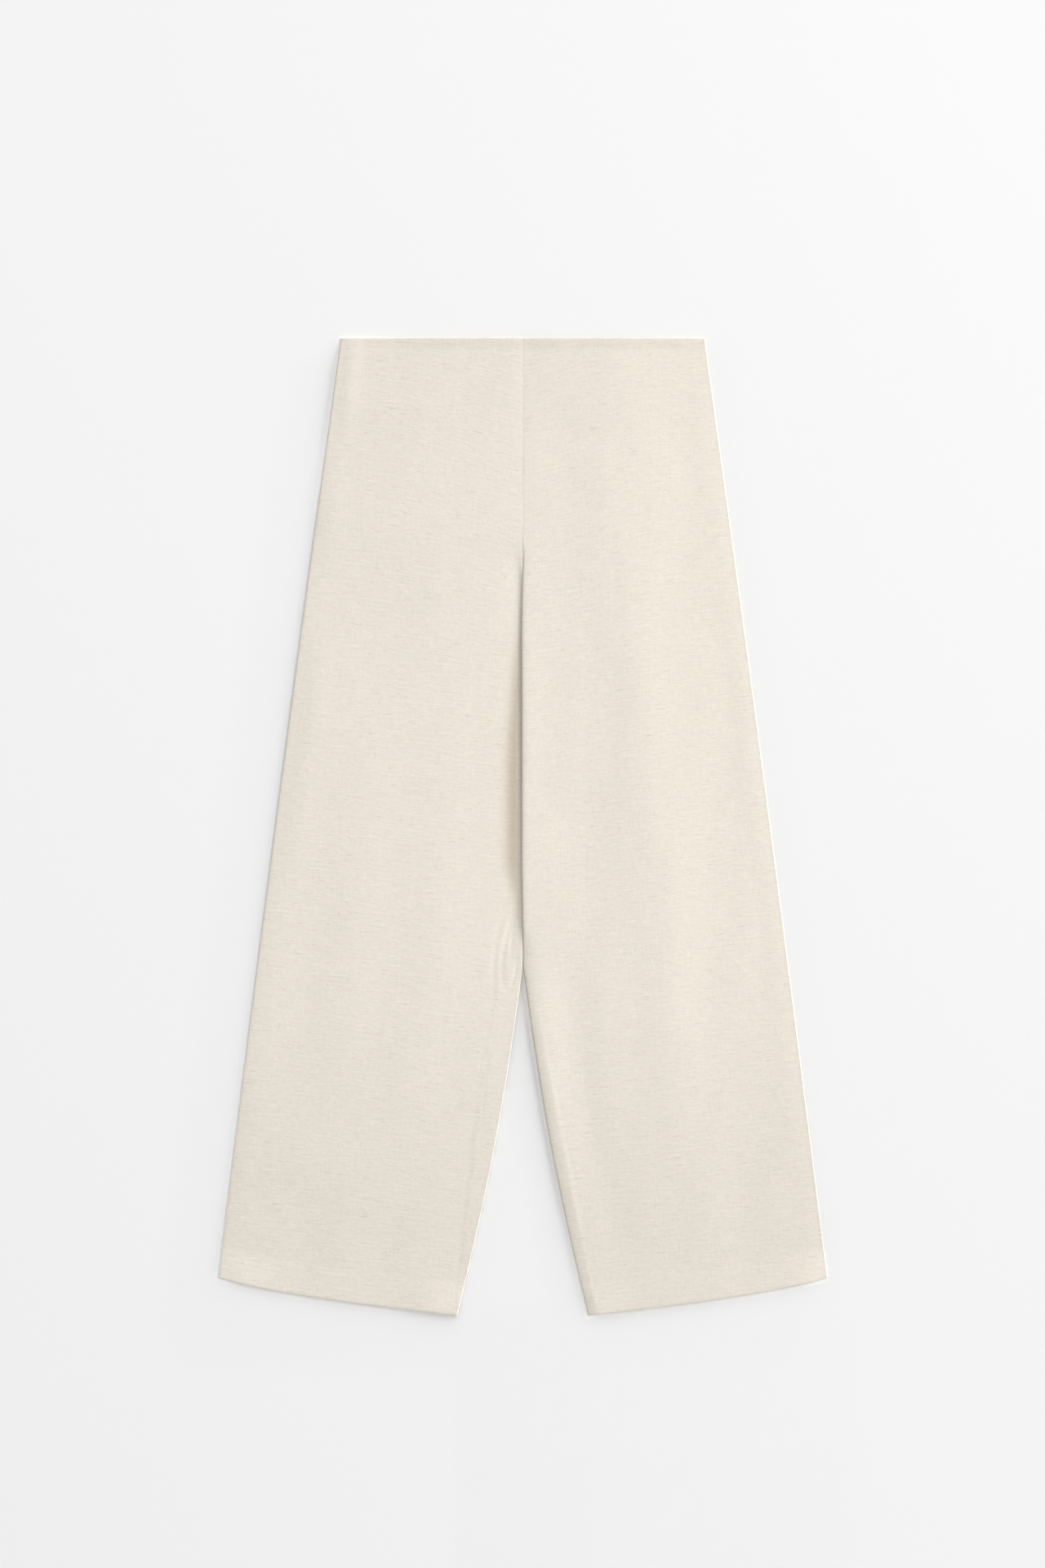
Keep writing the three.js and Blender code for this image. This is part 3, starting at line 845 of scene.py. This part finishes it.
def makeBack(side):
    # the back's grid with its creases added, none of them near an edge
    below = rowsBetween(backRows)
    x, y, z = backGrid(side, below)
    down = below[:, None] + np.zeros_like(x)
    b = backShape
    relief = creaseField(side * x, y, backCreases[legName(side)])
    flat = smooth(*b["flatSide"], sideLine(down) - x) * smooth(*b["flatSide"], x - legLine(down))
    ends = smooth(*b["flatWaist"], down) * smooth(*b["flatHem"], garment["length"] - down)
    points = np.stack([side * x, y, z + np.maximum(relief, 0) * flat * ends], axis=-1)
    inset = b["curlSteps"] + b["turningInset"]
    return makePanel("back", side, points, below, panelMasks(down, x), 0, grainLines["backShift"],
                     (inset, x.shape[1] - 1 - inset))


linenFinish = {
    "colour": (0.790, 0.730, 0.644, 1),
    "fleck": (0.47, 0.405, 0.33, 1),
    "hollowShadeColour": (0.585, 0.500, 0.395, 1),       # painted shade in the hollow beside the fold, where light is lost
    # tone differences, each with its size across and along the weft in millimetres
    "tones": [
        {"across": 26, "along": 2.3, "tone": 0.115},        # long weft streaks
        {"across": 8, "along": 2.7, "tone": 0.135},         # slubs
        {"across": 3.4, "along": 2.9, "tone": 0.085},       # nubs
        {"across": 1.9, "along": 14, "tone": 0.085},        # warp streaks
        {"across": 45, "along": 30, "tone": 0.02},          # clouds
    ],
    "flecks": [
        {"across": 13, "along": 1.5, "from": 0.64, "to": 0.76, "share": 1.0},
        {"across": 5, "along": 1.7, "from": 0.67, "to": 0.79, "share": 0.8},
        {"across": 1.6, "along": 9, "from": 0.69, "to": 0.80, "share": 0.5},
    ],
    "fleckStrength": 0.30,
    "toneNoise": (2, 0.55),     # detail and roughness
    "fleckNoise": (1, 0.5),
    # added where a mask says so: lighter at the hem's corners, partly the doubled cloth and partly
    # painted light; painted shade at the waist turning and on the lower leg; darker near the top
    "masked": {"doubledHemAndLight": 0.050, "waistPaintedShade": -0.033, "lowLegPaintedShade": -0.042, "top": -0.018},
    "pitch": 0.80 * mm,         # from thread to thread
    "threadHeight": 0.02,       # of the crossing threads in the bump, beside the tones
    "fleckHeight": 0.06,
    "heightGain": 8,
    "bump": 0.25 * mm,
    "bumpStrength": 0.4,
    "edgeGlow": 0.9,            # light let through at the edges
    "surface": {"Roughness": 0.92, "Specular IOR Level": 0.25, "Sheen Weight": 0.10,
                "Sheen Roughness": 0.5, "Subsurface Radius": (1, 0.9, 0.75),
                "Subsurface Scale": 1.2 * mm},
}


class Nodes:
    # short names for building the nodes of a material or a world: each adds its node with the
    # given inputs and hands back its output
    def __init__(self, owner, shader="Principled BSDF"):
        owner.use_nodes = True
        self.owner = owner
        self.tree = owner.node_tree
        self.shader = self.tree.nodes[shader]

    def put(self, node, inputs):
        # links a socket, or sets a plain value
        for key, value in inputs.items():
            if isinstance(value, bpy.types.NodeSocket):
                self.tree.links.new(value, node.inputs[key])
            else:
                node.inputs[key].default_value = value

    def make(self, kind, inputs, **settings):
        node = self.tree.nodes.new("ShaderNode" + kind)
        for key, value in settings.items():
            setattr(node, key, value)
        self.put(node, inputs)
        return node

    def math(self, operation, a, b=0.0):
        return self.make("Math", {0: a, 1: b}, operation=operation).outputs[0]

    def noise(self, vector, scale, detail, rough):
        inputs = {"Vector": vector, "Scale": scale, "Detail": detail, "Roughness": rough}
        return self.make("TexNoise", inputs).outputs["Fac"]

    def threads(self, grain, size, detail, rough):
        # noise stretched to a size across and along the weft
        scale = (1 / (size["across"] * mm), 1 / (size["along"] * mm), 1)
        stretched = self.make("Mapping", {"Vector": grain, "Scale": scale}).outputs[0]
        return self.noise(stretched, 1, detail, rough)

    def ramp(self, value, low, high, toLow=0.0, toHigh=1.0):
        inputs = {"Value": value, "From Min": low, "From Max": high,
                  "To Min": toLow, "To Max": toHigh}
        return self.make("MapRange", inputs, interpolation_type="SMOOTHSTEP").outputs[0]

    def blend(self, share, a, b):
        inputs = {"Factor": share, "A": a, "B": b}
        return self.make("Mix", inputs, data_type="RGBA").outputs["Result"]

    def attribute(self, name):
        return self.make("Attribute", {}, attribute_name=name).outputs["Fac"]

    def bump(self, height, strength, distance):
        inputs = {"Height": height, "Strength": strength, "Distance": distance}
        self.put(self.shader, {"Normal": self.make("Bump", inputs).outputs[0]})


def linenMaterial():
    # plain weave of uneven threads: tones are noises stretched along the weft or the warp, added
    # up; darker flecks show where a noise passes a limit; the same noises and the crossing
    # threads, as sine times sine, make the bump
    f = linenFinish
    n = Nodes(bpy.data.materials.new("linen"))
    grain = n.make("UVMap", {}, uv_map="grain").outputs[0]
    tone, height = 1.0, 0.0
    for streak in f["tones"]:
        value = n.math("SUBTRACT", n.threads(grain, streak, *f["toneNoise"]), 0.5)
        centred = n.math("MULTIPLY", value, streak["tone"])
        tone = n.math("ADD", centred, tone)
        height = n.math("ADD", centred, height)
    # masked tones: painted light at the hem's corners, painted shade at the waist turning and the
    # lower leg, darker near the top
    for name, strength in f["masked"].items():
        tone = n.math("ADD", n.math("MULTIPLY", n.attribute(name), strength), tone)
    flecks = 0.0
    for fleck in f["flecks"]:
        value = n.threads(grain, fleck, *f["fleckNoise"])
        value = n.ramp(value, fleck["from"], fleck["to"])
        flecks = n.math("MAXIMUM", n.math("MULTIPLY", value, fleck["share"]), flecks)
    flecks = n.math("MULTIPLY", flecks, f["fleckStrength"])
    # painted shade: the cloth's colour goes towards a darker warm brown in the hollow beside the
    # fold
    hollowShaded = n.blend(n.attribute("hollow"), f["colour"], f["hollowShadeColour"])
    cloth = n.blend(flecks, hollowShaded, f["fleck"])
    toned = n.make("VectorMath", {0: cloth, "Scale": tone}, operation="SCALE").outputs[0]
    parts = n.make("SeparateXYZ", {0: grain}).outputs
    turn = math.pi / f["pitch"]
    over = n.math("SINE", n.math("MULTIPLY", parts[0], turn))
    under = n.math("SINE", n.math("MULTIPLY", parts[1], turn))
    crossing = n.math("MULTIPLY", n.math("MULTIPLY", over, under), f["threadHeight"])
    height = n.math("ADD", crossing, height)
    height = n.math("ADD", n.math("MULTIPLY", flecks, f["fleckHeight"]), height)
    n.bump(n.math("MULTIPLY", height, f["heightGain"]), f["bumpStrength"], f["bump"])
    glow = n.math("MULTIPLY", n.attribute("edge"), f["edgeGlow"])
    n.put(n.shader, {"Base Color": toned, "Subsurface Weight": glow, **f["surface"]})
    return n.owner


tapeFinish = {
    "rib": {"across": 1 / 2.2, "along": 2.5},       # in millimetres, as in the linen
    "noise": (1, 0.5),      # detail and roughness
    "dark": (0.66, 0.60, 0.50, 1),
    "pale": (0.76, 0.70, 0.60, 1),
    "span": (0.2, 0.8),
    "bump": 0.1 * mm,
    "bumpStrength": 0.6,
    "roughness": 0.75,
}
sliderFinish = {
    "wear": 700,            # spots per metre, and their detail and roughness
    "noise": (3, 0.6),
    "dark": (0.60, 0.56, 0.49, 1),
    "pale": (0.68, 0.64, 0.57, 1),
    "span": (0.35, 0.7),
    "surface": {"Roughness": 0.38, "Metallic": 0.6},
}


def tapeMaterial():
    # fine ribs across the tape, as one stretched noise for tone and bump
    f = tapeFinish
    n = Nodes(bpy.data.materials.new("zip_tape"))
    rib = n.threads(n.make("UVMap", {}, uv_map="grain").outputs[0], f["rib"], *f["noise"])
    n.bump(rib, f["bumpStrength"], f["bump"])
    colour = n.blend(n.ramp(rib, *f["span"]), f["dark"], f["pale"])
    n.put(n.shader, {"Base Color": colour, "Roughness": f["roughness"]})
    return n.owner


def sliderMaterial():
    # metal with paler and darker spots of wear, by a noise
    f = sliderFinish
    n = Nodes(bpy.data.materials.new("zip_metal"))
    worn = n.noise(n.make("TexCoord", {}).outputs["Object"], f["wear"], *f["noise"])
    colour = n.blend(n.ramp(worn, *f["span"]), f["dark"], f["pale"])
    n.put(n.shader, {"Base Color": colour, **f["surface"]})
    return n.owner


zipTape = {
    "top": 0.014,
    "length": 0.220,
    "inset": 0.009,         # from the side seam
    "width": 0.012,
    "height": 1.0 * mm,     # its middle over the floor
    "cloth": 0.6 * mm,
    "coil": 0.35 * mm,      # height of the closed coil along the middle
    "coilReach": 1.2 * mm,
    "coilDip": 0.4,         # share of that between two turns
    "turns": 30,
    "rows": 90,
    "columns": 17,
}


def makeZipTape():
    # a strip along the right side seam, on the back panel, with a bell-shaped ridge for the coil
    t = zipTape
    below = np.linspace(t["top"], t["top"] + t["length"], t["rows"])[:, None]
    across = np.linspace(0, t["width"], t["columns"])[None, :]
    x = sideLine(below) - t["inset"] - across
    turns = np.sin(2 * math.pi * below / (t["length"] / t["turns"]))
    ridge = t["coil"] * bell(across, t["width"] / 2, t["coilReach"])
    z = t["height"] + ridge * (1 - t["coilDip"] + t["coilDip"] * turns)
    points = np.stack([-x, rowLine(x, below), z + np.zeros_like(x)], axis=-1)
    return addSheet("zip_tape_cloth", points, points[..., :2], {}, -1, t["cloth"])


linen = linenMaterial()
tape = tapeMaterial()

for side, name in [(-1, "right"), (1, "left")]:
    front, frontHem, frontWaist = makeFront(side)
    back, backHem, backWaist = makeBack(side)
    for piece, node in [(front, f"front_{name}"), (frontHem, f"hem_front_{name}"),
                        (frontWaist, f"waist_front_{name}"), (back, f"back_{name}"),
                        (backHem, f"hem_back_{name}"), (backWaist, f"waist_back_{name}")]:
        piece.data.materials.append(linen)
        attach(piece, "root")
        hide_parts(node)
    print(f"{name} leg made")

zipPiece = makeZipTape()
zipPiece.data.materials.append(tape)
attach(zipPiece, "root")
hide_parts("zip_tape")
slider = bpy.data.objects["zip_slider"]
slider.data.materials.clear()
slider.data.materials.append(sliderMaterial())
print("zip made")

studio = {
    "dim": 0.12,            # sky away from the bright side
    "bright": 1.13,         # sky at the middle of the bright side
    "brightSide": (0.671, 0.470, 0.574),
    "spread": (-0.25, 1.0), # cosines of the angle to that side, from dim to bright
    "lowGain": 0.22,        # the sky is brighter low down, as 1 over the height plus this
    "key": 440.0,           # watts
    "keyPlace": (6.4, 4.6, 5.4),
    "keySize": 3.2,
    "lens": 85.0,
    "sensor": 36.0,
    "frameHeight": 1.6013,  # height of what the camera sees, at the cloth
    "aim": (-0.0004, 0.0438),           # the camera's place over the garment
}
floorShape = {
    "reach": 14.0,          # from the middle to each side
    "depth": 0.2,
    "fine": (-0.42, 0.42, -0.62, 0.62),     # part round the garment with a fine grid
    "step": 0.006,
}
floorFinish = {
    "grain": 900,           # specks per metre, and their detail and roughness
    "noise": (2, 0.5),
    "bump": 0.2 * mm,
    "bumpStrength": 0.05,
    # the emission colour is that of the painted light at the garment's shaded edges
    "surface": {"Base Color": (0.86, 0.86, 0.86, 1), "Roughness": 0.9, "Specular IOR Level": 0.2,
                "Emission Color": (1, 0.985, 0.96, 1), "Subsurface Radius": (1, 1, 1),
                "Subsurface Scale": 18 * mm},
}
# light that sinks into the board near the garment: shares, and distances from an edge over
# which they ease
sinking = {
    "side": 0.80, "hem": 0.66, "gap": 0.97, "lit": 0.36,
    "outward": (0.070, 0.035),          # out from a shaded edge
    "gapOutward": (0.050, 0.020),
    "hemSpan": (0.06, 0.02),            # up from the hems' lowest line
    "gapHemSpan": (0.03, -0.01),
    "litInside": (-0.012, -0.03),       # not on the lit side and beyond the waist
    "litSpan": (0.04, 0.02),            # out from a lit edge
    "litWaist": (0.015, -0.02),
}
# painted light: the board glows near the garment's shaded edges, which lightens the shadow there
paintedFloorLight = {
    "side": 0.13, "hem": 0.16, "gap": 0.22,
    "hip": 2.2, "hipSpan": (0.22, 0.09),        # times more there
    "reach": 0.0055,        # how far out it shows
    "inside": 0.03,         # and how far inside the outline it goes on
    "insideSpan": (0.03, 0.02), "sideSpan": (0.05, 0.03),
    "hemClear": 0.012,      # the gap's lit edge starts this far above the hem
    "litSpan": (0.004, -0.004), "waistSpan": (0.003, -0.005),
}


def floorMaterial():
    # a pale matt board, with the two masks for the light in it: light sinking into it near the
    # garment, and painted light where it glows at the garment's shaded edges
    f = floorFinish
    n = Nodes(bpy.data.materials.new("pale_floor"))
    grain = n.noise(n.make("TexCoord", {}).outputs["Object"], f["grain"], *f["noise"])
    n.bump(grain, f["bumpStrength"], f["bump"])
    # painted light: the board glows near the garment's shaded edges, fading out beyond them
    fading = n.ramp(n.attribute("outside"), paintedFloorLight["reach"], 0)
    glow = n.math("MULTIPLY", fading, n.attribute("paintedFloorLight"))
    near = n.attribute("near")
    n.put(n.shader, {"Subsurface Weight": near, "Emission Strength": glow, **f["surface"]})
    return n.owner


def sideAt(y):
    # the side seam's distance from the centre at a height y, where the hem rises to it
    reach = garment["length"] - garment["hemRise"]
    below = (garment["length"] / 2 - y) * garment["length"] / reach
    return sideLine(np.clip(below, 0, garment["length"]))


def paintedFloorLightMask(x, y, below):
    # distance outside the outline, and the share of painted light, the board's glow, there: on at
    # the shaded side, the hems and the shaded edge of the gap, a little way inside the outline as
    # well
    t = paintedFloorLight
    low, corner = -garment["length"] / 2, sideLine(garment["length"])
    leg, side = legLine(below), sideAt(y)
    legs = below > garment["forkBelow"]
    hemLine = rowLine(np.clip(np.abs(x), 0, corner), garment["length"])
    overHem = y - hemLine
    outSide = -x - side
    past = np.maximum(np.abs(x) - corner, 0)
    outHem = np.where(past > 0, np.hypot(np.maximum(-overHem, 0), past), -overHem)
    outGap = np.where(y < low, np.hypot(leg - x, low - y), leg - x)
    nearHem = np.where(overHem < t["inside"], np.maximum(outSide, outHem), outSide)
    outside = np.where(overHem < 0, outHem, nearHem)
    beside = (np.abs(x) - leg < t["inside"]) & legs & ((x > 0) | (overHem > t["hemClear"]))
    outside = np.where(beside, np.maximum(outGap, outside), outside)
    outside = np.where(np.abs(x) < leg, outGap, outside)
    atSide = t["side"] * (x < 0) * smooth(*t["sideSpan"], side - np.abs(x))
    atSide = atSide * mix(1, t["hip"], smooth(*t["hipSpan"], below))
    atHem = t["hem"] * smooth(*t["insideSpan"], overHem)
    atGap = t["gap"] * (x > 0) * smooth(*t["insideSpan"], x - leg) * legs
    share = np.maximum(np.maximum(atSide, atHem), atGap)
    share = np.where(np.abs(x) < leg, t["gap"], share)
    return outside, share * smooth(*t["litSpan"], x - side) * smooth(*t["waistSpan"], y + low)


def lightSinking(x, y, below):
    # share of light that sinks into the board: fades outward from the shaded side and the hems,
    # less from the lit side, and goes from one edge of the gap to the other
    s = sinking
    half = garment["length"] / 2
    leg, fromSide = legLine(below), x - sideAt(y)
    away = np.hypot(np.maximum(-x - sideAt(y), 0), np.maximum(-half - y, 0))
    near = smooth(*s["outward"], away) * mix(s["side"], s["hem"], smooth(*s["hemSpan"], y + half))
    near *= smooth(*s["litInside"], fromSide) * smooth(*s["litInside"], y - half)
    litSide = s["lit"] * smooth(*s["litSpan"], fromSide) * smooth(*s["litWaist"], y - half)
    near = np.maximum(near, litSide * (x > 0))
    gap = s["gap"] * smooth(*s["gapOutward"], leg - x)
    litGap = s["lit"] * smooth(*s["litSpan"], leg + x)
    gap = mix(np.maximum(gap, litGap), s["hem"], smooth(*s["gapHemSpan"], y + half))
    return np.where(np.abs(x) < leg, gap, near)


def makeFloor():
    # a thick board, its top a grid that is fine near the garment and carries the masks
    low, high, bottom, top = floorShape["fine"]
    far, step = floorShape["reach"], floorShape["step"]
    xs = np.concatenate([[-far], np.arange(low, high + 1e-6, step), [far]])
    ys = np.concatenate([[-far], np.arange(bottom, top + 1e-6, step), [far]])
    x, y = np.meshgrid(xs, ys)
    below = np.clip(garment["length"] / 2 - y, 0, garment["length"])
    outside, share = paintedFloorLightMask(x, y, below)
    index, quads = gridQuads(*x.shape)
    rim = np.concatenate([index[0, :-1], index[:-1, -1], index[-1, :0:-1], index[:0:-1, 0]])
    lower = x.size + np.arange(len(rim))
    walls = np.stack([np.roll(rim, -1), rim, lower, np.roll(lower, -1)], axis=-1)
    points = np.stack([x.ravel(), y.ravel(), np.zeros(x.size)], axis=-1)
    under = points[rim] - [0, 0, floorShape["depth"]]
    faces = quads[:, [0, 3, 2, 1]].tolist() + walls.tolist() + [lower[::-1].tolist()]
    mesh = bpy.data.meshes.new("floor")
    mesh.from_pydata(np.concatenate([points, under]).tolist(), [], faces)
    masks = {"near": lightSinking(x, y, below), "outside": outside, "paintedFloorLight": share}
    setMasks(mesh, {key: np.append(values, np.zeros(len(rim))) for key, values in masks.items()})
    floor = addObject("floor", mesh)
    floor.data.materials.append(floorMaterial())


def makeSky():
    # brighter towards one side, and towards the horizon as 1 over the height plus the gain
    world = bpy.data.worlds.new("studio")
    bpy.context.scene.world = world
    n = Nodes(world, "Background")
    where = n.make("TexCoord", {}).outputs["Generated"]
    toward = n.make("VectorMath", {0: where, 1: studio["brightSide"]}, operation="DOT_PRODUCT")
    level = n.ramp(toward.outputs["Value"], *studio["spread"], studio["dim"], studio["bright"])
    height = n.math("MAXIMUM", n.make("SeparateXYZ", {0: where}).outputs[2], 0)
    strength = n.math("DIVIDE", level, n.math("ADD", height, studio["lowGain"]))
    n.put(n.shader, {"Color": (1, 1, 1, 1), "Strength": strength})


def makeStudio():
    # the floor, the sky, a round lamp turned to the garment, and a camera straight above it
    makeFloor()
    makeSky()
    key = bpy.data.lights.new("key", "AREA")
    key.energy = studio["key"]
    key.shape = "DISK"
    key.size = studio["keySize"]
    lamp = addObject("key", key)
    lamp.location = studio["keyPlace"]
    x, y, z = studio["keyPlace"]
    lamp.rotation_euler = (math.atan2(math.hypot(x, y), z), 0, math.atan2(x, -y))
    camera = bpy.data.cameras.new("camera")
    camera.lens = studio["lens"]
    camera.sensor_width = studio["sensor"]
    view = addObject("camera", camera)
    distance = studio["frameHeight"] * studio["lens"] / studio["sensor"]
    view.location = (*studio["aim"], distance + topLayers["middle"][0])
    bpy.context.scene.camera = view
    bpy.context.scene.view_settings.view_transform = "Standard"


makeStudio()
print("studio made")
